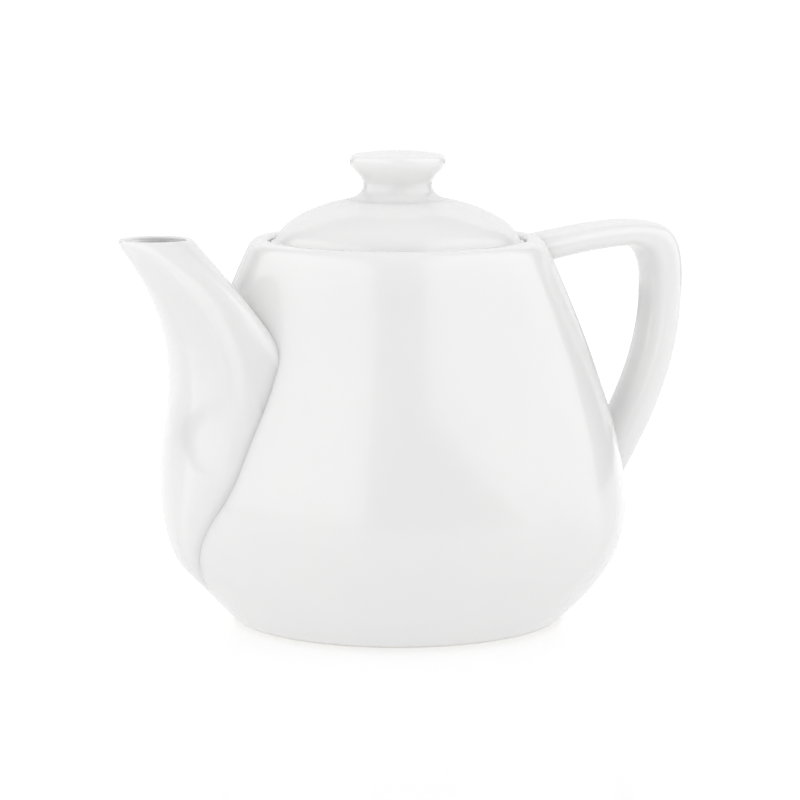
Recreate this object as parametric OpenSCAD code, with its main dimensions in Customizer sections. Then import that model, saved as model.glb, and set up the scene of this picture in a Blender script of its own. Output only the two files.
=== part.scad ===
// Porcelain teapot: a round body with a recessed lid seat, a broad spout,
// a strap handle, and a domed lid with a spool knob and a locking lug.
// The z axis is the pot's own axis. The foot stands on z = 0, the spout points
// along -X and the handle along +X.

/* [Body] */
// Diameter of the wall at its widest
belly_d = 127.4; // [120:0.2:132]
// Height of the widest point
belly_z = 32.5; // [30:0.5:36]
// Outer diameter just below the rounded rim
neck_d = 84.6; // [82:0.2:86]
// Height of the rim
rim_z = 106.2; // [105:0.2:107]
// Diameter of the foot ring at its outer edge
foot_d = 93.8; // [90:0.2:96]
// Thickness of the wall
wall = 4; // [3.5:0.1:4.5]
// Thickness of the floor
floor_t = 4.5; // [4:0.1:5.5]
// Height of the hollow under the floor
foot_h = 2.5; // [2:0.1:3]
// Diameter of each hole of the strainer
strainer_d = 3.6; // [3.2:0.1:3.8]

/* [Lid] */
// Diameter of the recess that takes the lid's flange
mouth_d = 71.6; // [71:0.2:72]
// Depth of the recess, from the rim to the seat
seat_depth = 3; // [2.6:0.1:3.2]
// Width of the seat
seat_w = 5; // [4.5:0.1:5.2]
// Height of the lid's dome above the rim
dome_h = 12.4; // [11.5:0.1:13]
// Depth of the skirt below the seat
skirt_h = 10; // [8:0.5:11]
// Gap between the lid and the pot, all round
lid_gap = 0.6; // [0.4:0.1:0.8]
// Diameter of the steam vent
vent_d = 2.8; // [2:0.1:3.5]

/* [Knob] */
// Largest diameter of the knob
knob_d = 26.4; // [25:0.2:28]
// Diameter of the knob's waist
knob_waist_d = 18.8; // [18:0.2:20]
// Height of the knob's top above the rim
knob_top = 24.2; // [23.8:0.1:24.6]

/* [Spout] */
// How far the tip reaches from the pot's axis
spout_reach = 79.8; // [78:0.2:82]
// Height of the lip
lip_z = 108.2; // [107.6:0.1:108.8]
// Length of the lip, front to back
lip_l = 21; // [20:0.2:22]
// Width of the lip
lip_w = 20.4; // [19:0.2:22]
// Width of the spout where it leaves the body
spout_root_w = 60; // [57:0.5:63]
// Thickness of the spout's wall
spout_wall = 3.2; // [2.8:0.1:3.6]

/* [Handle] */
// How far the handle reaches from the pot's axis
handle_reach = 83.4; // [82:0.2:85]
// Height of the top of the handle
handle_z = 109.3; // [109:0.1:110]
// Width of the strap
strap_w = 18.6; // [17:0.2:20]
// Thickness of the grip
strap_t = 8.6; // [8:0.1:9.2]

/* [Hidden] */
$fn = 96;
porcelain = [0.93, 0.93, 0.92];
belly_r = belly_d / 2;
neck_r = neck_d / 2;
foot_r = foot_d / 2;
mouth_r = mouth_d / 2;
neck_z = rim_z - 4.2;        // where the wall ends and the rounded rim begins
crown_r = mouth_r + 2.6;     // top of the rounded rim
seat_z = rim_z - seat_depth;
seat_r = mouth_r - seat_w;   // inner edge of the seat
floor_z = foot_h + floor_t;
strainer_z = 66;             // middle row of the strainer
strainer_pitch = 8;          // between holes
strainer_rise = 7;           // between rows
foot_w = 4;                  // width of the ring that touches the table
skirt_r = seat_r - lid_gap;
skirt_t = 3;
flange_r = mouth_r - lid_gap;
flange_t = 2.4;
rest_gap = 0.1;              // slack under the flange
lid_t = 3.8;                 // thickness of the dome
lap = 1.2;                   // how deep the slip joint sinks into the wall
vent_at = [7.2, 20.8];       // the steam vent, on the back of the dome
lug_w = 10;
lug_l = 3;
lug_h = 4.5;
lug_drop = 9;                // from the seat down to the lug's foot
notch_gap = 1.6;             // room for the lug in its notch
notch_h = 12;                // depth of the notch below the seat

// ---- curves -----------------------------------------------------------------

// Point at t on a cubic curve with the four control points p
function bezier(p, t) =
    pow(1 - t, 3) * p[0] + 3 * pow(1 - t, 2) * t * p[1]
    + 3 * (1 - t) * t * t * p[2] + pow(t, 3) * p[3];

// n points along the curve p, without its first point
function stretch(p, n) = [for (i = [1:n]) bezier(p, i / n)];

// Point at s on a row of curves joined end to end, with s from 0 to 1
function chain(row, s) =
    let (n = len(row), k = min(floor(s * n), n - 1)) bezier(row[k], s * n - k);

// ---- body outline -------------------------------------------------------------

foot_edge = [foot_r - 3.2, 0];
bowl_start = [foot_r, 1.7];
belly = [belly_r, belly_z];
neck = [neck_r, neck_z];
crown = [crown_r, rim_z];

outer_wall = concat(
    [foot_edge],
    stretch([foot_edge, foot_edge + [1.6, 0], bowl_start - [0.9, 1.1], bowl_start], 3),
    stretch([bowl_start, bowl_start + [9.1, 8.8], belly - [0, 14.5], belly], 10),
    stretch([belly, belly + [0, 17.5], neck + [10.7, -24], neck], 13),
    stretch([neck, neck + [-1, 2.4], crown + [2, 0], crown], 4)
);

inner_belly = [belly_r - wall, belly_z];
inner_neck = [neck_r - wall + 3, neck_z - 7];
inner_wall = concat(
    [[foot_r - 8, floor_z]],
    stretch([[foot_r - 8, floor_z], [foot_r + 3, floor_z + 1],
             inner_belly - [0, 13], inner_belly], 8),
    stretch([inner_belly, inner_belly + [0, 16], inner_neck + [8.2, -20], inner_neck], 9)
);

// ---- tubes with a changing section ------------------------------------------------

// A tube is [front, back, half, middle, front power, back power]. front and back
// are chains of points in the XZ plane, half is its half width along Y, and
// middle says where its widest place lies, from front (0) to back (1). Each
// section is an oval whose power makes it rounder (2) or squarer (more).
// inset moves the whole skin inwards.
function tube_point(tube, a, s, inset) =
    let (
        front = chain(tube[0], s),
        back = chain(tube[1], s),
        along = (back - front) / norm(back - front),
        length = norm(back - front) - 2 * inset,
        middle = chain(tube[3], s),
        half = chain(tube[2], s) - inset,
        nose = cos(a) >= 0,
        reach = length * (nose ? middle : 1 - middle),
        power = chain(nose ? tube[4] : tube[5], s),
        r = pow(pow(abs(cos(a)) / reach, power) + pow(abs(sin(a)) / half, power), -1 / power),
        p = front + along * (inset + length * middle - r * cos(a))
    )
    [p[0], -r * sin(a), p[1]];

wall_radius = [for (p = outer_wall) [p[1], p[0]]];

// How far a point stands outside the body's outer surface
function clearance(p) = norm([p[0], p[1]]) - lookup(p[2], wall_radius);

// Where the line at angle a sinks into the wall by the lap, between an s that
// lies inside the wall and one that lies outside it
function root(tube, a, inside, outside, inset, steps = 16) =
    let (s = (inside + outside) / 2)
    steps == 0 ? s
    : clearance(tube_point(tube, a, s, inset)) < -lap
        ? root(tube, a, s, outside, inset, steps - 1)
        : root(tube, a, inside, s, inset, steps - 1);

// Faces of a grid of rings, rings of n points each; open at both ends
function skin_faces(rings, n) =
    [for (i = [0:rings - 2]) for (j = [0:n - 1])
        [i * n + j, i * n + (j + 1) % n, (i + 1) * n + (j + 1) % n, (i + 1) * n + j]];

// ---- spout --------------------------------------------------------------------------

tip = [-spout_reach, lip_z - 1];
heel = tip + [lip_l, 0];
chin = [-65.4, 46];
spine = [-10, 50];
root_half = spout_root_w / 2;
spout_tube = [
    [[[-40, 3], [-68.1, 11.3], chin - [1.3, 19], chin],
     [chin, chin + [1.1, 16], [-56.7, 78.3], tip]],
    [[[6, 4], [4, 20], [2, 35], spine],
     [spine, [-32, 66], heel + [10, -13], heel]],
    [[10, 6, 29.5, root_half],
     [root_half, 32, 33.5, lip_w / 2]],
    [[0.45, 0.38, 0.33, 0.33],
     [0.33, 0.6, 0.95, 0.5]],
    [[2.4, 2.6, 2.8, 2.8],
     [2.8, 2.8, 2.4, 2]],
    [[4.5, 4.5, 4.5, 4.5],
     [4.5, 4, 3, 2.2]]
];
spout_sides = 48;
spout_rings = 16;

// One skin of the spout, from its root in the wall up to the lip
function spout_skin(inset) =
    let (
        angles = [for (j = [0:spout_sides - 1]) 360 * j / spout_sides],
        roots = [for (a = angles) root(spout_tube, a, 0, 1, inset)]
    )
    [for (i = [0:spout_rings - 1]) for (j = [0:spout_sides - 1])
        tube_point(spout_tube, angles[j],
                   roots[j] + (1 - roots[j]) * i / (spout_rings - 1), inset)];

// ---- handle -------------------------------------------------------------------------

shoulder = [67, handle_z - 0.1];
knuckle = [handle_reach, 93];
grip_shoulder = shoulder - [1, 7];
grip_knuckle = knuckle - [strap_t, 3];
half_strap = strap_w / 2;
handle_tube = [
    [[[34, 104.6], [48, 107.1], shoulder - [9, 0.2], shoulder],
     [shoulder, shoulder + [12.5, 0.3], knuckle + [0, 14], knuckle],
     [knuckle, knuckle - [0, 21], [78, 55], [56, 22]]],
    [[[34, 96.4], [46, 99.6], grip_shoulder - [10, 0.5], grip_shoulder],
     [grip_shoulder, grip_shoulder + [6.5, 0.3], grip_knuckle + [0, 8], grip_knuckle],
     [grip_knuckle, grip_knuckle - [0, 14], [71, 63], [58, 42]]],
    [[half_strap, half_strap, half_strap, half_strap]],
    [[0.5, 0.5, 0.5, 0.5]],
    [[3, 3, 3, 3]],
    [[3, 3, 3, 3]]
];
strap_sides = 28;
strap_rings = 44;

// ---- sub-parts ----------------------------------------------------------------------

// Holes through the wall behind the spout, in rows of 3, 4 and 3, which hold back
// the leaves
module strainer_holes() {
    for (row = [-1:1])
        for (k = [0:3 - abs(row)])
            translate([0, (k - (3 - abs(row)) / 2) * strainer_pitch,
                       strainer_z + row * strainer_rise])
                rotate([0, -90, 0])
                    cylinder(d = strainer_d, h = belly_r);
}

module body() {
    color(porcelain)
    difference() {
        rotate_extrude()
            polygon(concat(
                [[0, foot_h], [foot_edge[0] - foot_w, foot_h], [foot_edge[0] - foot_w, 0]],
                outer_wall,
                [[mouth_r + 0.8, rim_z - 0.7], [mouth_r, rim_z - 1.6],
                 [mouth_r, seat_z], [seat_r, seat_z], [seat_r, seat_z - 2.6]],
                [for (i = [len(inner_wall) - 1:-1:0]) inner_wall[i]],
                [[0, floor_z]]
            ));
        strainer_holes();
        // the notch that lets the lug pass the seat
        translate([-skirt_r - lug_l - notch_gap, -lug_w / 2 - notch_gap, seat_z - notch_h])
            cube([lug_l + 2 * notch_gap, lug_w + 2 * notch_gap, notch_h + 1]);
    }
}

module spout() {
    n = spout_sides;
    outer = spout_skin(0);
    inner = spout_skin(spout_wall);
    crest = [for (j = [0:n - 1])
        (outer[(spout_rings - 1) * n + j] + inner[(spout_rings - 1) * n + j]) / 2 + [0, 0, 1]];
    down = [for (i = [spout_rings - 1:-1:0]) for (j = [0:n - 1]) inner[i * n + j]];
    skin = concat(outer, crest, down);
    rings = 2 * spout_rings + 1;
    closing = [for (j = [0:n - 1])
        [(rings - 1) * n + j, (rings - 1) * n + (j + 1) % n, (j + 1) % n, j]];
    color(porcelain)
        polyhedron(points = skin, faces = concat(skin_faces(rings, n), closing), convexity = 8);
}

module handle() {
    n = strap_sides;
    angles = [for (j = [0:n - 1]) 360 * (j + 0.5) / n];
    top = [for (a = angles) root(handle_tube, a, 0, 0.33, 0)];
    low = [for (a = angles) root(handle_tube, a, 1, 0.67, 0)];
    skin = [for (i = [0:strap_rings - 1]) for (j = [0:n - 1])
        tube_point(handle_tube, angles[j], top[j] + (low[j] - top[j]) * i / (strap_rings - 1), 0)];
    ends = [[for (j = [n - 1:-1:0]) j], [for (j = [0:n - 1]) (strap_rings - 1) * n + j]];
    color(porcelain)
        polyhedron(points = skin, faces = concat(skin_faces(strap_rings, n), ends), convexity = 6);
}

dome_start = [flange_r - 1.3, seat_z + flange_t];
dome_top = [0, rim_z + dome_h];
dome = [dome_start, dome_start + [-2.3, 6.4], dome_top + [20, -1], dome_top];

module lid() {
    under_top = dome_top - [0, lid_t];
    under_edge = [skirt_r - skirt_t, seat_z + 1];
    color(porcelain)
    difference() {
        rotate_extrude()
            polygon(concat(
                [[skirt_r - skirt_t, seat_z - skirt_h], [skirt_r, seat_z - skirt_h],
                 [skirt_r, seat_z + rest_gap], [flange_r, seat_z + rest_gap],
                 [flange_r, seat_z + flange_t - 1], [flange_r - 0.4, seat_z + flange_t - 0.3],
                 dome_start],
                stretch(dome, 18),
                [under_top],
                stretch([under_top, under_top + [14, 0], under_edge + [1, 6], under_edge], 12)
            ));
        translate([vent_at[0], vent_at[1], rim_z])
            cylinder(d = vent_d, h = 2 * dome_h);
    }
}

module lid_knob() {
    foot = [11.6, rim_z + 11.2];
    waist = [knob_waist_d / 2, rim_z + 15.6];
    bulge = [knob_d / 2 - 0.2, rim_z + 20.6];
    edge = [bulge[0] - 1.1, rim_z + knob_top - 1];
    color(porcelain)
        rotate_extrude()
            polygon(concat(
                [[0, foot[1] - 1.2], [foot[0], foot[1] - 1.2], foot],
                stretch([foot, foot + [-2, 1.2], waist - [0.4, 1.6], waist], 6),
                stretch([waist, waist + [0.8, 2.2], bulge - [0.6, 1.8], bulge], 6),
                stretch([bulge, bulge + [0.5, 1.4], edge + [1.1, -0.2], edge], 4),
                stretch([edge, edge + [-3.9, 0.7], [3, rim_z + knob_top], [0, rim_z + knob_top]], 6)
            ));
}

module lid_lug() {
    color(porcelain)
    intersection() {
        translate([-skirt_r - lug_l, -lug_w / 2, seat_z - lug_drop])
            cube([lug_l + 2, lug_w, lug_h]);
        difference() {
            cylinder(r = skirt_r + lug_l, h = rim_z);
            translate([0, 0, -1])
                cylinder(r = skirt_r - 1, h = rim_z + 2);
        }
    }
}

body();
spout();
handle();
lid();
lid_knob();
lid_lug();
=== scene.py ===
import math

import bpy
import numpy as np
from mathutils import Euler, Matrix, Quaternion, Vector


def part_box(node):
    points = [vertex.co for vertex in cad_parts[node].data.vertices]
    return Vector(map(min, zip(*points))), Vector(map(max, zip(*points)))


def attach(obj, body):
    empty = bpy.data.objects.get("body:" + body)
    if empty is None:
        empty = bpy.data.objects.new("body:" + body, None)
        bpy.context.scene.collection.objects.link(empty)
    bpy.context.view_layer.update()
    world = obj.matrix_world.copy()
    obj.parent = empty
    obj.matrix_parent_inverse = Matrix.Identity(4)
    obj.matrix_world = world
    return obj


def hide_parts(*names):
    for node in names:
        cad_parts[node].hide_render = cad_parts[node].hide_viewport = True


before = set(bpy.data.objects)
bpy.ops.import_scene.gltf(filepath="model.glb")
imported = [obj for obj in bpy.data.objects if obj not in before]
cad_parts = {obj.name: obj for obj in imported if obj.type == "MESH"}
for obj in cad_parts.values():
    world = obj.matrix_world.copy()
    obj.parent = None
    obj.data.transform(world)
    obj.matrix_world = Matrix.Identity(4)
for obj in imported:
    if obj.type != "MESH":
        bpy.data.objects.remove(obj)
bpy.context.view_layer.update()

# Lengths are in millimetres until a mesh is made, and MM turns them into metres.
MM = 0.001


def box_mm(node):
    low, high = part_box(node)
    return np.array(low) / MM, np.array(high) / MM


# ---- driving sizes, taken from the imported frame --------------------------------

body_high = box_mm("body")[1]
spout_low, spout_high = box_mm("spout")
handle_low, handle_high = box_mm("handle")
lid_low, lid_high = box_mm("lid")
knob_high = box_mm("lid_knob")[1]
lug_low, lug_high = box_mm("lid_lug")

belly_r = body_high[0]
rim_z = body_high[2]
lip_z = spout_high[2]
spout_reach = -spout_low[0]
handle_reach = handle_high[0]
handle_z = handle_high[2]
strap_w = handle_high[1] - handle_low[1]
flange_r = lid_high[0]
dome_z = lid_high[2]
skirt_low = lid_low[2]
knob_r = knob_high[0]
knob_z = knob_high[2]

# ---- sizes inside those boxes ------------------------------------------------------

wall = 4.0
belly_z = 32.5
neck_r = belly_r - 21.4
neck_z = rim_z - 4.2
foot_r = belly_r - 16.8
foot_w = 4.0
foot_h = 2.5
floor_z = 7.0
mouth_r = flange_r + 0.6
crown_r = mouth_r + 2.6
seat_z = rim_z - 3.0
seat_r = mouth_r - 5.0
skirt_r = seat_r - 0.6
skirt_t = 3.0
flange_t = 2.4
rest_gap = 0.1
lid_t = 3.8
strainer_d = 3.6
strainer_z = 66.0
strainer_pitch = 8.0
strainer_rise = 7.0
drill_reach = 5.0        # how far outside the wall the strainer's drills start
hole_flare = 0.7         # rounding where a hole comes out
notch_gap = 1.6
vent_d = 2.8
vent_at = (7.2, 20.8)
lip_l = 21.0
lip_w = 20.4
spout_root_w = 60.0
spout_wall = 3.2
strap_t = 8.6

TURN_STEPS = 256
SINK = 0.04   # how far a blended edge dips under the wall


# ---- curves ------------------------------------------------------------------------

def bezier(p, t):
    """Points at t on the cubic curve with control points p, in any number of dimensions."""
    p = [np.asarray(q, float) for q in p]
    t = np.asarray(t, float)[..., None]
    u = 1 - t
    return u**3 * p[0] + 3 * u * u * t * p[1] + 3 * u * t * t * p[2] + t**3 * p[3]


def stretch(p, n):
    """n points along a cubic curve, without its first point."""
    return bezier(p, np.arange(1, n + 1) / n)


def chain(row, s):
    """Points at s, from 0 to 1, on curves joined end to end."""
    row = np.array(row, float)
    if row.ndim == 2:
        row = row[..., None]
    s = np.asarray(s, float)
    k = np.clip((s * len(row)).astype(int), 0, len(row) - 1)
    t = (s * len(row) - k)[..., None]
    u = 1 - t
    p = row[k]
    return (u**3 * p[..., 0, :] + 3 * u * u * t * p[..., 1, :]
            + 3 * u * t * t * p[..., 2, :] + t**3 * p[..., 3, :])


def rounded(points, n=6):
    """A path through points (r, z, radius), with each corner turned on its radius."""
    pts = [np.array(p[:2], float) for p in points]
    path = []
    for i, p in enumerate(points):
        radius = p[2] if len(p) > 2 else 0
        if not radius or i in (0, len(points) - 1):
            path.append(pts[i])
            continue
        before = pts[i - 1] - pts[i]
        after = pts[i + 1] - pts[i]
        cut = min(radius, np.linalg.norm(before) * 0.48, np.linalg.norm(after) * 0.48)
        a = pts[i] + before / np.linalg.norm(before) * cut
        b = pts[i] + after / np.linalg.norm(after) * cut
        for t in np.linspace(0, 1, n):
            path.append((1 - t)**2 * a + 2 * t * (1 - t) * pts[i] + t * t * b)
    return np.array(path)


def smoother(u):
    return u**3 * (u * (6 * u - 15) + 10)


# ---- meshes ------------------------------------------------------------------------

def make_object(name, verts, faces):
    """A smooth-shaded object from points in millimetres."""
    mesh = bpy.data.meshes.new(name)
    mesh.from_pydata((np.asarray(verts) * MM).tolist(), [], [list(map(int, f)) for f in faces])
    mesh.validate()
    mesh.polygons.foreach_set("use_smooth", [True] * len(mesh.polygons))
    mesh.update()
    obj = bpy.data.objects.new(name, mesh)
    bpy.context.scene.collection.objects.link(obj)
    return obj


def grid_faces(rows, n):
    """Faces of rows of n points each, closed round."""
    i, j = np.meshgrid(np.arange(rows - 1), np.arange(n), indexing="ij")
    k = (j + 1) % n
    quads = np.stack([i * n + j, i * n + k, (i + 1) * n + k, (i + 1) * n + j], -1)
    return quads.reshape(-1, 4).tolist()


def revolve(name, profile, steps=TURN_STEPS):
    """A solid turned round the z axis; the profile runs from the axis back to the axis,
    anticlockwise when r points right and z up."""
    profile = np.asarray(profile, float)
    ends = profile[0], profile[-1]
    rings = profile[1:-1]
    a = np.linspace(0, 2 * np.pi, steps, endpoint=False)
    verts = np.stack([np.outer(rings[:, 0], np.cos(a)), np.outer(rings[:, 0], np.sin(a)),
                      np.repeat(rings[:, 1:2], steps, 1)], -1).reshape(-1, 3)
    faces = grid_faces(len(rings), steps)
    low, high = len(verts), len(verts) + 1
    verts = np.vstack([verts, [0, 0, ends[0][1]], [0, 0, ends[1][1]]])
    last = (len(rings) - 1) * steps
    for j in range(steps):
        k = (j + 1) % steps
        faces.append([low, k, j])
        faces.append([high, last + j, last + k])
    return make_object(name, verts, faces)


def cut(obj, cutters):
    """Takes the cutters out of obj."""
    for cutter in cutters:
        tool = obj.modifiers.new("cut", "BOOLEAN")
        tool.operation = "DIFFERENCE"
        tool.solver = "EXACT"
        tool.object = cutter
    graph = bpy.context.evaluated_depsgraph_get()
    mesh = bpy.data.meshes.new_from_object(obj.evaluated_get(graph))
    obj.modifiers.clear()
    obj.data = mesh
    mesh.polygons.foreach_set("use_smooth", [True] * len(mesh.polygons))
    for cutter in cutters:
        bpy.data.objects.remove(cutter)


def flared_drill(name, d, start, direction, length, flare, steps=32):
    """A drill that widens at its far end, to leave a rounded edge where it comes out."""
    r = d / 2
    z = [0, length - 3 * flare, length - flare, length - 0.35 * flare, length, length + 5]
    radii = [r, r, r + 0.08 * flare, r + 0.4 * flare, r + flare, r + flare]
    a = np.linspace(0, 2 * np.pi, steps, endpoint=False)
    axis = Vector(direction).normalized()
    turn = np.array(axis.to_track_quat("Z", "Y").to_matrix())
    rings = np.stack([np.outer(radii, np.cos(a)), np.outer(radii, np.sin(a)),
                      np.repeat(np.array(z)[:, None], steps, 1)], -1)
    verts = rings.reshape(-1, 3) @ turn.T + np.array(start)
    faces = grid_faces(len(z), steps)
    faces.append(list(range(steps))[::-1])
    faces.append([(len(z) - 1) * steps + j for j in range(steps)])
    return make_object(name, verts, faces)


# ---- the wall, as a surface that other pieces join ------------------------------------

foot_edge = np.array([foot_r - 3.2, 0])
bowl_start = np.array([foot_r, 1.7])
belly = np.array([belly_r, belly_z])
neck = np.array([neck_r, neck_z])
crown = np.array([crown_r, rim_z])

outer_wall = np.vstack([
    foot_edge,
    stretch([foot_edge, foot_edge + [1.6, 0], bowl_start - [0.9, 1.1], bowl_start], 8),
    stretch([bowl_start, bowl_start + [9.1, 8.8], belly - [0, 14.5], belly], 40),
    stretch([belly, belly + [0, 17.5], neck + [10.7, -24], neck], 60),
    stretch([neck, neck + [-1, 2.4], crown + [2, 0], crown], 14),
])


def on_wall(p):
    """(nearest points on the outer wall, signed gaps, outward normals) of points p."""
    shape = p.shape[:-1]
    p = p.reshape(-1, 3)
    r = np.hypot(p[:, 0], p[:, 1])
    q = np.stack([r, p[:, 2]], -1)
    a, b = outer_wall[:-1], outer_wall[1:]
    d = b - a
    t = np.clip(((q[:, None] - a) * d).sum(-1) / (d * d).sum(-1), 0, 1)
    foot = a + t[..., None] * d
    best = np.linalg.norm(q[:, None] - foot, axis=-1).argmin(1)
    rows = np.arange(len(q))
    near = foot[rows, best]
    # the slope is blended from edge to edge, so that the wall counts as smooth
    slopes = np.gradient(outer_wall, axis=0)
    slope = slopes[best] * (1 - t[rows, best])[:, None] + slopes[best + 1] * t[rows, best][:, None]
    normal = np.stack([slope[:, 1], -slope[:, 0]], -1)
    normal /= np.linalg.norm(normal, axis=1)[:, None]
    gap = ((q - near) * normal).sum(1)
    around = p[:, :2] / np.maximum(r, 1e-9)[:, None]
    point = np.concatenate([around * near[:, :1], near[:, 1:]], 1)
    out = np.concatenate([around * normal[:, :1], normal[:, 1:]], 1)
    return point.reshape(*shape, 3), gap.reshape(shape), out.reshape(*shape, 3)


# ---- tubes with a changing section ------------------------------------------------------

class Tube:
    """Sections between a front curve (angle 0) and a back curve (angle 180 degrees) in
    the XZ plane. half is the half width along Y, middle says where the widest place lies
    from front (0) to back (1), and the powers make each half rounder (2) or squarer."""

    def __init__(self, front, back, half, middle, front_power, back_power):
        self.rows = [front, back, half, middle, front_power, back_power]

    def at(self, a, s, inset=0.0):
        a, s = np.broadcast_arrays(np.asarray(a, float), np.asarray(s, float))
        front, back = chain(self.rows[0], s), chain(self.rows[1], s)
        half, middle, near_power, far_power = [chain(r, s)[..., 0] for r in self.rows[2:]]
        span = back - front
        full = np.linalg.norm(span, axis=-1)
        along = span / full[..., None]
        length = full - 2 * inset
        nose = np.cos(a) >= 0
        reach = length * np.where(nose, middle, 1 - middle)
        power = np.where(nose, near_power, far_power)
        r = (np.abs(np.cos(a) / reach)**power
             + np.abs(np.sin(a) / (half - inset))**power)**(-1 / power)
        p = front + along * (inset + length * middle - r * np.cos(a))[..., None]
        return np.stack([p[..., 0], -r * np.sin(a), p[..., 1]], -1)

    def root(self, a, inside, outside, inset=0.0, steps=40):
        """Where the line at angle a comes out of the wall, between s inside and outside."""
        low = np.full(a.shape, float(inside))
        high = np.full(a.shape, float(outside))
        for _ in range(steps):
            middle = (low + high) / 2
            buried = on_wall(self.at(a, middle, inset))[1] < 0
            low, high = np.where(buried, middle, low), np.where(buried, high, middle)
        return (low + high) / 2


def closed_gradient(p):
    return (np.roll(p, -1, 0) - np.roll(p, 1, 0)) / 2


def even_angles(tube, inside, outside, columns):
    """Angles whose lines leave the wall at evenly spaced points of the joint."""
    a = np.linspace(0, 2 * np.pi, 721)
    s = tube.root(a, inside, outside)
    p = tube.at(a, s)
    run = np.concatenate([[0], np.cumsum(np.linalg.norm(np.diff(p, axis=0), axis=1))])
    even = np.interp(np.arange(columns) / columns * run[-1], run, a)
    return even, tube.root(even, inside, outside)


def walk(tube, a, s, heading, distance, steps=24):
    """Walks on the tube's skin from (a, s), square to the joint, and returns all the
    (a, s) passed. heading is the joint's direction at each start."""
    path = [(a.copy(), s.copy())]
    eps_a, eps_s = 1e-4, 1e-4
    for _ in range(steps):
        along_a = (tube.at(a + eps_a, s) - tube.at(a - eps_a, s)) / (2 * eps_a)
        along_s = (tube.at(a, s + eps_s) - tube.at(a, s - eps_s)) / (2 * eps_s)
        normal = np.cross(along_a, along_s)
        normal /= np.linalg.norm(normal, axis=-1)[:, None]
        way = np.cross(heading, normal)
        way /= np.linalg.norm(way, axis=-1)[:, None]
        # solve along_a * da + along_s * ds = way * step
        aa, ss, cross = (along_a**2).sum(-1), (along_s**2).sum(-1), (along_a * along_s).sum(-1)
        wa, ws = (along_a * way).sum(-1), (along_s * way).sum(-1)
        det = aa * ss - cross**2
        step = distance / steps
        da = (wa * ss - ws * cross) / det * step
        ds = (ws * aa - wa * cross) / det * step
        a, s = a + da, s + ds
        path.append((a.copy(), s.copy()))
    return path


def joint_blend(tube, a, s, width_wall, width_tube, rows, side):
    """Rows of points that leave the wall tangentially and run onto the tube's skin, with
    the (a, s) where they end. side is +1 or -1, for which way the tube leaves."""
    joint = tube.at(a, s)
    heading = closed_gradient(joint)
    heading /= np.linalg.norm(heading, axis=-1)[:, None]
    normal = on_wall(joint)[2]
    away = np.cross(heading, normal)
    away /= np.linalg.norm(away, axis=-1)[:, None]
    centre = joint.mean(0)
    away *= np.sign(((joint - centre) * away).sum(-1))[:, None]
    path = walk(tube, a, s, heading * side, width_tube)
    pa = np.array([p[0] for p in path])
    ps = np.array([p[1] for p in path])
    out = []
    for u in np.linspace(0, 1, rows):
        q1 = on_wall(joint + away * (width_wall * (1 - u))[:, None])[0]
        k = u * (len(path) - 1)
        i = min(int(k), len(path) - 2)
        f = k - i
        q2 = tube.at(pa[i] * (1 - f) + pa[i + 1] * f, ps[i] * (1 - f) + ps[i + 1] * f)
        w = smoother(u)
        out.append(q1 * (1 - w) + q2 * w)
    out[0] = on_wall(out[0])[0] - on_wall(out[0])[2] * SINK
    return np.array(out), pa[-1], ps[-1]


# ---- body ---------------------------------------------------------------------------------

def make_body():
    inner_belly = np.array([belly_r - wall, belly_z])
    inner_neck = np.array([neck_r - wall + 3, neck_z - 7])
    under = rounded([
        (0, foot_h), (foot_edge[0] - foot_w, foot_h, 1.2),
        (foot_edge[0] - foot_w, 0, 0.9), tuple(foot_edge)])
    gallery = rounded([
        tuple(crown), (mouth_r, rim_z, 2.2), (mouth_r, seat_z, 0.5), (seat_r, seat_z, 0.9),
        (seat_r, seat_z - 2.8, 1.0), tuple(inner_neck)])
    inside = np.vstack([
        inner_neck,
        stretch([inner_neck, inner_neck + [8.2, -20], inner_belly + [0, 16], inner_belly], 40),
        stretch([inner_belly, inner_belly - [0, 13], [foot_r + 3, floor_z + 1],
                 [foot_r - 8, floor_z]], 32)])
    profile = np.vstack([under, outer_wall[1:], gallery[1:], inside[1:], [0, floor_z]])
    body = revolve("body_shell", profile)
    holes = []
    for row in (-1, 0, 1):
        count = 4 - abs(row)
        for k in range(count):
            y = (k - (count - 1) / 2) * strainer_pitch
            z = strainer_z + row * strainer_rise
            inner_r = np.interp(z, inside[::-1, 1], inside[::-1, 0])
            start = (-belly_r - drill_reach, y, z)
            depth = belly_r + drill_reach - math.sqrt(inner_r**2 - y * y)
            holes.append(flared_drill(f"drill_{row + 1}_{k}", strainer_d, start, (1, 0, 0),
                                      depth, hole_flare))
    cut(body, holes + [notch_cutter()])
    return body


def notch_cutter():
    """The slot in the seat that lets the lug pass, with rounded corners."""
    x0 = lug_low[0] - notch_gap
    x1 = -seat_r + 2
    half = (lug_high[1] - lug_low[1]) / 2 + notch_gap
    plan = rounded([(x1, -half), (x0, -half, 2.5), (x0, half, 2.5), (x1, half)])
    n = len(plan)
    verts = [(x, y, z) for z in (seat_z - 12, seat_z + 1.5) for x, y in plan]
    faces = [list(range(n)), list(range(2 * n - 1, n - 1, -1))]
    faces += [[j, n + j, n + (j + 1) % n, (j + 1) % n] for j in range(n)]
    return make_object("notch_cutter", verts, faces)


# ---- spout --------------------------------------------------------------------------------

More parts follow.
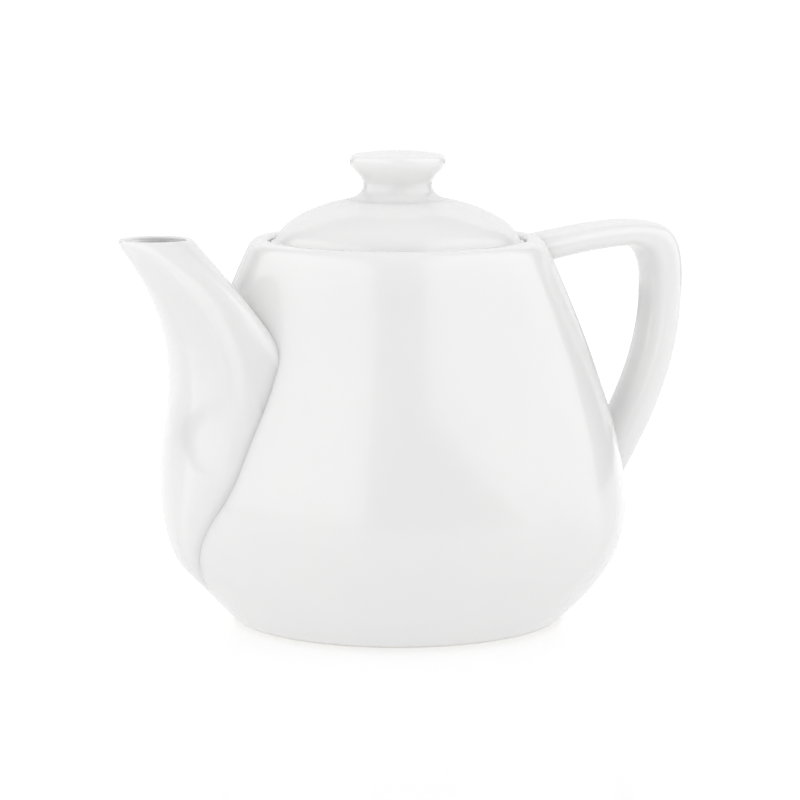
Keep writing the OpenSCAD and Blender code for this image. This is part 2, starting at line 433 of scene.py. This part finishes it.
tip = np.array([-spout_reach, lip_z - 1])
heel = tip + [lip_l, 0]
chin = np.array([-65.4, 46])
spine = [-10, 50]
root_half = spout_root_w / 2
lip_flare = 1.3          # how much thinner the wall is at the lip
lip_flare_depth = 1.5    # how fast the wall gets its full thickness below the lip
lip_lift = 0.9           # how far the rounded edge stands above the tube's end
lip_start = 0.985        # where along the tube the rounding of the lip starts
valley_rows = 16         # rows of the tube that are softened with the blend
valley_passes = 50
spout_tube = Tube(
    [[[-40, 3], [-68.1, 11.3], chin - [1.3, 19], chin],
     [chin, chin + [1.1, 16], [-56.7, 78.3], tip]],
    [[[6, 4], [4, 20], [2, 35], spine],
     [spine, [-32, 66], heel + [10, -13], heel]],
    [[10, 6, 29.5, root_half],
     [root_half, 32, 33.5, lip_w / 2]],
    [[0.45, 0.38, 0.33, 0.33],
     [0.33, 0.60, 0.95, 0.5]],
    [[2.4, 2.6, 2.8, 2.8],
     [2.8, 2.8, 2.4, 2]],
    [[4.5, 4.5, 4.5, 4.5],
     [4.5, 4.0, 3.0, 2.2]])


def make_spout():
    columns, rows, lip_rows, blend_rows = 224, 90, 14, 22
    a, s = even_angles(spout_tube, 0, 1, columns)
    height = spout_tube.at(a, s)[:, 2]
    # the blend is tight at the top of the joint and wide lower down
    on_wall_width = 3.5 + 5 * smoother(np.clip((78 - height) / 34, 0, 1))
    on_tube_width = 3 + 5 * smoother(np.clip((50 - height) / 26, 0, 1))
    blend, a1, s1 = joint_blend(spout_tube, a, s, on_wall_width, on_tube_width, blend_rows, 1)
    # each line then runs up to the lip, where the lines are spread more evenly
    a1 = np.unwrap(a1)
    even = a1.mean() + (np.arange(columns) + 0.5 - columns / 2) / columns * 2 * np.pi
    a_lip = 0.5 * a1 + 0.5 * even
    v = (np.arange(1, rows + 1) / rows)[:, None]
    outer = spout_tube.at(a1 + (a_lip - a1) * v, s1 + (lip_start - s1) * v)
    # soften the valley along the joint
    zone = np.concatenate([blend, outer[:valley_rows]])
    for _ in range(valley_passes):
        zone[2:-1] = (zone[1:-2] + 2 * zone[2:-1] + zone[3:]) / 4
    blend, outer[:valley_rows] = zone[:blend_rows], zone[blend_rows:]
    # the lip: a level edge, well rounded outside, with a wall that thins towards it
    thin = spout_wall - lip_flare
    end_out, end_in = spout_tube.at(a_lip, 1.0), spout_tube.at(a_lip, 1.0, thin)
    up_in = end_in - spout_tube.at(a_lip, 0.99, thin)
    corner_out = end_out + [0, 0, 0.6 * lip_lift]
    corner_in = end_in + up_in * (lip_lift / up_in[:, 2:])
    half = (end_out + end_in) / 2 + [0, 0, lip_lift]
    lip = []
    for t in np.linspace(0, 1, lip_rows):
        if t <= 0.5:
            f, start, corner = 2 * t, outer[-1], corner_out
            lip.append((1 - f)**2 * start + 2 * f * (1 - f) * corner + f * f * half)
        else:
            f, end, corner = 2 * t - 1, end_in, corner_in
            lip.append((1 - f)**2 * half + 2 * f * (1 - f) * corner + f * f * end)
    root_in = spout_tube.root(a_lip, 0, 1, spout_wall)
    v = 1 - (np.arange(rows + 1) / rows)[:, None]**1.6
    s_in = root_in + (1 - root_in) * v
    depth = end_in[:, 2] - spout_tube.at(a_lip, s_in, spout_wall)[..., 2]
    inset = spout_wall - lip_flare * np.exp(-np.maximum(depth, 0) / lip_flare_depth)
    inner = spout_tube.at(a_lip, s_in, inset)
    foot = inner[-1]
    inner[-1] = on_wall(foot)[0] - on_wall(foot)[2] * 0.3
    skin = np.vstack([blend.reshape(-1, 3), outer.reshape(-1, 3),
                      np.array(lip[1:-1]).reshape(-1, 3), inner.reshape(-1, 3)])
    total = len(skin) // columns
    faces = grid_faces(total, columns)
    last = (total - 1) * columns
    for j in range(columns):
        k = (j + 1) % columns
        faces.append([last + j, last + k, k, j])
    return make_object("spout_shell", skin, faces)


# ---- handle -------------------------------------------------------------------------------

shoulder = np.array([67, handle_z - 0.1])
knuckle = np.array([handle_reach, 93])
grip_shoulder = shoulder - [1, 7]
grip_knuckle = knuckle - [strap_t, 3]
half_strap = strap_w / 2
handle_tube = Tube(
    [[[34, 104.6], [48, 107.1], shoulder - [9, 0.2], shoulder],
     [shoulder, shoulder + [12.5, 0.3], knuckle + [0, 14], knuckle],
     [knuckle, knuckle - [0, 21], [78, 55], [56, 22]]],
    [[[34, 96.4], [46, 99.6], grip_shoulder - [10, 0.5], grip_shoulder],
     [grip_shoulder, grip_shoulder + [6.5, 0.3], grip_knuckle + [0, 8], grip_knuckle],
     [grip_knuckle, grip_knuckle - [0, 14], [71, 63], [58, 42]]],
    [[half_strap] * 4], [[0.5] * 4], [[3.0] * 4], [[3.0] * 4])


def make_handle():
    columns, rows = 96, 220
    a = (np.arange(columns) + 0.5) / columns * 2 * np.pi
    s_top = handle_tube.root(a, 0, 0.3)
    s_low = handle_tube.root(a, 1, 0.7)
    width = np.full(columns, 2.6)
    top, a0, s0 = joint_blend(handle_tube, a, s_top, width, width, 14, 1)
    low, a1, s1 = joint_blend(handle_tube, a, s_low, width * 1.2, width * 1.2, 14, -1)
    v = (np.arange(1, rows) / rows)[:, None]
    strap = handle_tube.at(a0 + (a1 - a0) * v, s0 + (s1 - s0) * v)
    skin = np.concatenate([top, strap, low[::-1]])
    caps = skin[0].mean(0), skin[-1].mean(0)
    caps = [on_wall(c)[0] - on_wall(c)[2] * 1.2 for c in caps]
    verts = np.vstack([skin.reshape(-1, 3), caps])
    faces = grid_faces(len(skin), columns)
    first, last = len(verts) - 2, (len(skin) - 1) * columns
    for j in range(columns):
        k = (j + 1) % columns
        faces.append([first, k, j])
        faces.append([first + 1, last + j, last + k])
    return make_object("handle_strap", verts, faces)


# ---- lid ----------------------------------------------------------------------------------

dome_edge = np.array([flange_r - 1.3, seat_z + flange_t])
dome_top = np.array([0, dome_z])
dome = [dome_edge, dome_edge + [-2.3, 6.4], dome_top + [20, -1], dome_top]


def make_lid():
    under_top = dome_top - [0, lid_t]
    under_edge = np.array([skirt_r - skirt_t, seat_z + 1])
    under = bezier([under_top, under_top + [14, 0], under_edge + [1, 6], under_edge],
                   np.linspace(0, 1, 32))
    skirt = rounded([
        tuple(under_edge), (skirt_r - skirt_t, skirt_low, 1.3), (skirt_r, skirt_low, 1.3),
        (skirt_r, seat_z + rest_gap, 0.5), (flange_r, seat_z + rest_gap, 0.6),
        (flange_r, seat_z + flange_t - 0.3, 0.9), tuple(dome_edge + [0.25, -0.2])])
    over = bezier(dome, np.linspace(0, 1, 60))
    profile = np.vstack([under[:-1], skirt, over[1:]])
    lid = revolve("lid_shell", profile)
    height = np.interp(math.hypot(*vent_at), over[::-1, 0], over[::-1, 1])
    cut(lid, [flared_drill("vent_drill", vent_d, (*vent_at, seat_z + 2), (0, 0, 1),
                           height + 0.4 - seat_z - 2, hole_flare)])
    return lid


def make_knob():
    over = bezier(dome, np.linspace(0, 1, 200))

    def dome_height(r):
        return float(np.interp(r, over[::-1, 0], over[::-1, 1]))

    skirt_at = 14.6
    slope = (dome_height(skirt_at + 0.5) - dome_height(skirt_at - 0.5))
    foot = np.array([skirt_at, dome_height(skirt_at) - SINK])
    waist = np.array([knob_r - 3.8, knob_z - 8.6])
    bulge = np.array([knob_r - 0.2, knob_z - 3.6])
    edge = np.array([bulge[0] - 1.1, knob_z - 1])
    top = np.array([0, knob_z])
    profile = np.vstack([
        [0, foot[1] - 1.5], [foot[0] - 3, foot[1] - 1.5], foot,
        stretch([foot, foot + np.array([-3.4, -3.4 * slope]), waist - [0.2, 2.8], waist], 24),
        stretch([waist, waist + [0.8, 2.2], bulge - [0.6, 1.8], bulge], 18),
        stretch([bulge, bulge + [0.5, 1.4], edge + [1.1, -0.2], edge], 12),
        stretch([edge, edge + [-3.9, 0.7], top + [3, 0], top], 24)])
    return revolve("knob_turned", profile, 160)


def make_lug():
    """A small rounded block, pressed onto the skirt."""
    low, high = lug_low, lug_high
    corners = [(x, y, z) for z in (low[2], high[2]) for x, y in
               ((low[0], low[1]), (high[0], low[1]), (high[0], high[1]), (low[0], high[1]))]
    faces = [(3, 2, 1, 0), (4, 5, 6, 7), (0, 1, 5, 4), (1, 2, 6, 5), (2, 3, 7, 6), (3, 0, 4, 7)]
    lug = make_object("lug_block", corners, faces)
    round_off = lug.modifiers.new("round", "BEVEL")
    round_off.width = 1.1 * MM
    round_off.segments = 5
    graph = bpy.context.evaluated_depsgraph_get()
    mesh = bpy.data.meshes.new_from_object(lug.evaluated_get(graph))
    lug.modifiers.clear()
    lug.data = mesh
    mesh.polygons.foreach_set("use_smooth", [True] * len(mesh.polygons))
    return lug


# ---- materials ------------------------------------------------------------------------------

COAT = 0.4
BARE_ROUGHNESS = 0.85
BARE_EDGE = 0.0003       # metres over which the glaze ends


def porcelain(name, bare_below=None):
    """White porcelain under a clear glaze. Below bare_below, in metres, the clay is bare."""
    mat = bpy.data.materials.new(name)
    mat.use_nodes = True
    nodes, links = mat.node_tree.nodes, mat.node_tree.links
    nodes.clear()
    out = nodes.new("ShaderNodeOutputMaterial")
    skin = nodes.new("ShaderNodeBsdfPrincipled")
    links.new(skin.outputs["BSDF"], out.inputs["Surface"])
    coords = nodes.new("ShaderNodeTexCoord")

    cloud = nodes.new("ShaderNodeTexNoise")
    cloud.inputs["Scale"].default_value = 38
    cloud.inputs["Detail"].default_value = 3
    links.new(coords.outputs["Object"], cloud.inputs["Vector"])
    tint = nodes.new("ShaderNodeValToRGB")
    tint.color_ramp.elements[0].position = 0.3
    tint.color_ramp.elements[0].color = (0.846, 0.848, 0.846, 1)
    tint.color_ramp.elements[1].position = 0.7
    tint.color_ramp.elements[1].color = (0.862, 0.862, 0.858, 1)
    links.new(cloud.outputs["Fac"], tint.inputs["Fac"])

    gloss = nodes.new("ShaderNodeMapRange")
    gloss.inputs["To Min"].default_value = 0.17
    gloss.inputs["To Max"].default_value = 0.25
    links.new(cloud.outputs["Fac"], gloss.inputs["Value"])

    peel = nodes.new("ShaderNodeTexNoise")
    peel.inputs["Scale"].default_value = 160
    peel.inputs["Detail"].default_value = 2
    links.new(coords.outputs["Object"], peel.inputs["Vector"])
    ripple = nodes.new("ShaderNodeBump")
    ripple.inputs["Strength"].default_value = 0.12
    ripple.inputs["Distance"].default_value = 0.0004
    links.new(peel.outputs["Fac"], ripple.inputs["Height"])

    skin.inputs["IOR"].default_value = 1.5
    skin.inputs["Subsurface Weight"].default_value = 0.5
    skin.inputs["Subsurface Radius"].default_value = (1, 1, 1)
    skin.inputs["Subsurface Scale"].default_value = 0.005
    skin.inputs["Coat Weight"].default_value = COAT
    skin.inputs["Coat Roughness"].default_value = 0.05
    skin.inputs["Coat IOR"].default_value = 1.5
    links.new(ripple.outputs["Normal"], skin.inputs["Coat Normal"])
    links.new(ripple.outputs["Normal"], skin.inputs["Normal"])

    if bare_below is None:
        links.new(tint.outputs["Color"], skin.inputs["Base Color"])
        links.new(gloss.outputs["Result"], skin.inputs["Roughness"])
        return mat

    split = nodes.new("ShaderNodeSeparateXYZ")
    links.new(coords.outputs["Object"], split.inputs["Vector"])
    bare = nodes.new("ShaderNodeMapRange")
    bare.inputs["From Min"].default_value = bare_below + BARE_EDGE
    bare.inputs["From Max"].default_value = bare_below
    links.new(split.outputs["Z"], bare.inputs["Value"])
    grain = nodes.new("ShaderNodeTexNoise")
    grain.inputs["Scale"].default_value = 900
    grain.inputs["Detail"].default_value = 4
    links.new(coords.outputs["Object"], grain.inputs["Vector"])
    clay = nodes.new("ShaderNodeValToRGB")
    clay.color_ramp.elements[0].color = (0.66, 0.64, 0.60, 1)
    clay.color_ramp.elements[1].color = (0.78, 0.77, 0.73, 1)
    links.new(grain.outputs["Fac"], clay.inputs["Fac"])
    colour = nodes.new("ShaderNodeMix")
    colour.data_type = "RGBA"
    links.new(bare.outputs["Result"], colour.inputs["Factor"])
    links.new(tint.outputs["Color"], colour.inputs["A"])
    links.new(clay.outputs["Color"], colour.inputs["B"])
    links.new(colour.outputs["Result"], skin.inputs["Base Color"])
    rough = nodes.new("ShaderNodeMix")
    rough.inputs["B"].default_value = BARE_ROUGHNESS
    links.new(bare.outputs["Result"], rough.inputs["Factor"])
    links.new(gloss.outputs["Result"], rough.inputs["A"])
    links.new(rough.outputs["Result"], skin.inputs["Roughness"])
    coat = nodes.new("ShaderNodeMapRange")
    coat.inputs["To Min"].default_value = COAT
    coat.inputs["To Max"].default_value = 0.0
    links.new(bare.outputs["Result"], coat.inputs["Value"])
    links.new(coat.outputs["Result"], skin.inputs["Coat Weight"])
    return mat


def floor_material():
    """A white shooting table, lit from below."""
    mat = bpy.data.materials.new("white_table")
    mat.use_nodes = True
    nodes, links = mat.node_tree.nodes, mat.node_tree.links
    skin = nodes["Principled BSDF"]
    skin.inputs["Base Color"].default_value = (0.35, 0.35, 0.35, 1)
    skin.inputs["Roughness"].default_value = 0.12
    skin.inputs["Specular IOR Level"].default_value = 0.3
    skin.inputs["Emission Color"].default_value = (1, 1, 1, 1)
    rays = nodes.new("ShaderNodeLightPath")
    glow = nodes.new("ShaderNodeMapRange")
    glow.inputs["To Min"].default_value = TABLE_GLOW
    glow.inputs["To Max"].default_value = TABLE_SEEN
    links.new(rays.outputs["Is Camera Ray"], glow.inputs["Value"])
    links.new(glow.outputs["Result"], skin.inputs["Emission Strength"])
    return mat


# ---- studio -----------------------------------------------------------------------------------

CAMERA_TURN = -19.0      # degrees round from the front, towards the spout
CAMERA_TILT = 8.4
CAMERA_DISTANCE = 0.957
CAMERA_LENS = 154.4
CAMERA_SENSOR = 36
AIM = (0.00063, -0.00022, 0.0608)
TABLE_RADIUS = 0.8
TABLE_GLOW = 0.58        # radiance of the table by itself
TABLE_SEEN = 0.545       # the same, as the camera sees it
AMBIENT = 0.44           # radiance of the room
ROOM_SEEN = 1.05         # the same, as the camera sees it


def place_camera():
    data = bpy.data.cameras.new("camera")
    data.lens = CAMERA_LENS
    data.sensor_width = CAMERA_SENSOR
    data.clip_start, data.clip_end = 0.01, 20
    camera = bpy.data.objects.new("camera", data)
    bpy.context.scene.collection.objects.link(camera)
    turn, tilt = math.radians(CAMERA_TURN), math.radians(CAMERA_TILT)
    back = Vector((math.sin(turn) * math.cos(tilt), -math.cos(turn) * math.cos(tilt),
                   math.sin(tilt)))
    camera.location = Vector(AIM) + back * CAMERA_DISTANCE
    camera.rotation_mode = "QUATERNION"
    camera.rotation_quaternion = (-back).to_track_quat("-Z", "Y")
    bpy.context.scene.camera = camera


PANEL_GAP = 0.03         # between the two lit rectangles of one panel


def panel(name, size, radiance, place, turn, lean=0, in_glaze=True, on_clay=True):
    """A lit rectangle of the given radiance, which the camera doesn't see. in_glaze: it is
    mirrored by the glaze; on_clay: it lights the white clay under the glaze."""
    data = bpy.data.lights.new(name, "AREA")
    data.shape = "RECTANGLE"
    data.size, data.size_y = size
    data.energy = radiance * math.pi * size[0] * size[1]
    lamp = bpy.data.objects.new(name, data)
    bpy.context.scene.collection.objects.link(lamp)
    lamp.location = place
    lamp.rotation_mode = "QUATERNION"
    lamp.rotation_quaternion = turn @ Quaternion((0, 0, 1), math.radians(lean))
    lamp.visible_camera = False
    lamp.visible_glossy = in_glaze
    lamp.visible_diffuse = on_clay


def upright_panel(name, size, mirrored, cast, side, distance, centre, lean=0):
    """An upright panel that faces the pot, with its radiance in the glaze and on the clay.
    side is how many degrees it stands to the right of the camera, seen from the pot;
    centre is its middle, along and up."""
    angle = math.radians(CAMERA_TURN - 90 + side)
    out = Vector((math.cos(angle), math.sin(angle), 0))
    along = Vector((-math.sin(angle), math.cos(angle), 0))
    turn = Euler((math.radians(90), 0, angle + math.radians(90))).to_quaternion()
    place = out * distance + along * centre[0] + Vector((0, 0, centre[1]))
    if mirrored:
        panel(name + "_in_glaze", size, mirrored, place - out * PANEL_GAP, turn, lean,
              on_clay=False)
    panel(name + "_on_clay", size, cast, place, turn, lean, in_glaze=False)


def make_studio():
    bpy.ops.mesh.primitive_circle_add(vertices=96, radius=TABLE_RADIUS, fill_type="NGON",
                                      location=(0, 0, -0.0002))
    table = bpy.context.object
    table.name = "table"
    table.data.materials.append(floor_material())
    world = bpy.data.worlds.new("studio")
    bpy.context.scene.world = world
    world.use_nodes = True
    nodes, links = world.node_tree.nodes, world.node_tree.links
    sky = nodes["Background"]
    rays = nodes.new("ShaderNodeLightPath")
    level = nodes.new("ShaderNodeMapRange")
    level.inputs["To Min"].default_value = AMBIENT
    level.inputs["To Max"].default_value = ROOM_SEEN
    links.new(rays.outputs["Is Camera Ray"], level.inputs["Value"])
    sky.inputs["Color"].default_value = (1, 1, 1, 1)
    links.new(level.outputs["Result"], sky.inputs["Strength"])
    upright_panel("panel_left", (2.73, 1.1), 1.06, 0.62, -65, 0.9, (-0.33, 0.57))
    upright_panel("panel_right", (2.4, 1.8), 0.95, 0.66, 66, 1.0, (0.35, 0.83), -38)
    upright_panel("panel_back", (2.6, 1.8), 0.47, 0.55, 180, 1.8, (0, 0.9))
    upright_panel("panel_front", (1.6, 1.2), 0, 0.6, 0, 1.6, (0, 0.55))
    panel("panel_top", (2.4, 2.4), 0.58, (0, 0, 1.5), Quaternion(), in_glaze=False)
    bpy.context.scene.view_settings.view_transform = "Standard"


# ---- assembly -----------------------------------------------------------------------------------

place_camera()
make_studio()

PIECES = [
    ("body", make_body, "pot", "porcelain_body", 0.0006),
    ("spout", make_spout, "pot", "porcelain_spout", None),
    ("handle", make_handle, "pot", "porcelain_handle", None),
    ("lid", make_lid, "lid", "porcelain_lid", None),
    ("lid_knob", make_knob, "lid", "porcelain_knob", None),
    ("lid_lug", make_lug, "lid", "porcelain_lug", None),
]
for node, make, rides_on, slot, bare in PIECES:
    piece = make()
    piece.data.materials.clear()
    piece.data.materials.append(porcelain("glaze_" + node, bare))
    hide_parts(node)
    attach(piece, rides_on)
